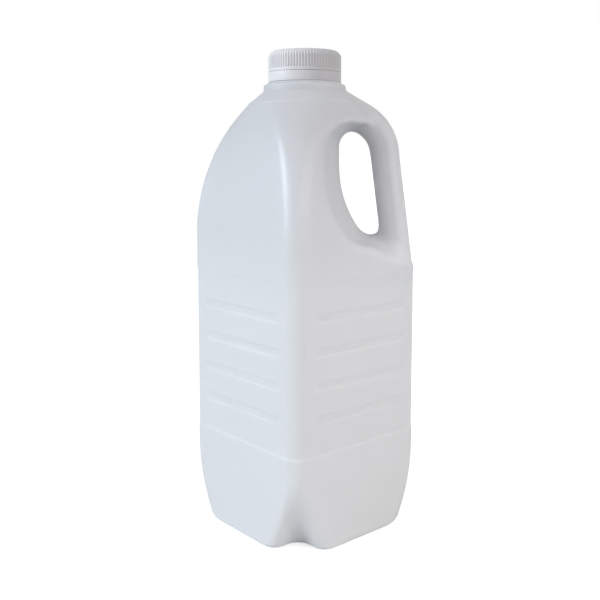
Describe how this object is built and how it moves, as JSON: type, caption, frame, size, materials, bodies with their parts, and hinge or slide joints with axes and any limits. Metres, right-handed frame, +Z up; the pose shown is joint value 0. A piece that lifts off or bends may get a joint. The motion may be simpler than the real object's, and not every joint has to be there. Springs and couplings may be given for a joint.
{
  "type": "handled feeding bottle",
  "caption": "Square blow-moulded feeding bottle with a hollow corner handle, finger hole, grooved grip panels and a ribbed screw cap over a loose tamper band.",
  "frame": {"origin": "on the neck's axis, in the plane of the standing rim", "axes": "+Z up along the neck, +X towards the handle, Y = 0 is the mould's parting plane"},
  "size_m": [0.129, 0.129, 0.2782],
  "materials": {
    "bottle_natural": "natural milky HDPE, satin, slightly translucent",
    "cap_white": "white moulded polyethylene, satin",
    "liner_foam": "white foamed polyethylene disc"
  },
  "bodies": {
    "bottle": {"bottle_body": "bottle_natural"},
    "liner": {"cap_liner": "liner_foam"},
    "cap": {"screw_cap": "cap_white"},
    "band": {"tamper_band": "cap_white"}
  },
  "joints": [
    {"name": "cap_lift", "type": "slide", "parent": "bottle", "child": "liner", "axis": [0, 0, 1], "range_m": [0, 0.00641]},
    {"name": "cap_turn", "type": "hinge", "parent": "liner", "child": "cap", "pos_m": [0, 0, 0.272], "axis": [0, 0, 1], "range_deg": [0, 720]},
    {"name": "band_turn", "type": "hinge", "parent": "bottle", "child": "band", "pos_m": [0, 0, 0.263], "axis": [0, 0, 1], "continuous": true}
  ],
  "couplings": [
    {"joint": "cap_lift", "follows": "cap_turn", "m_per_rad": 0.0005093}
  ]
}
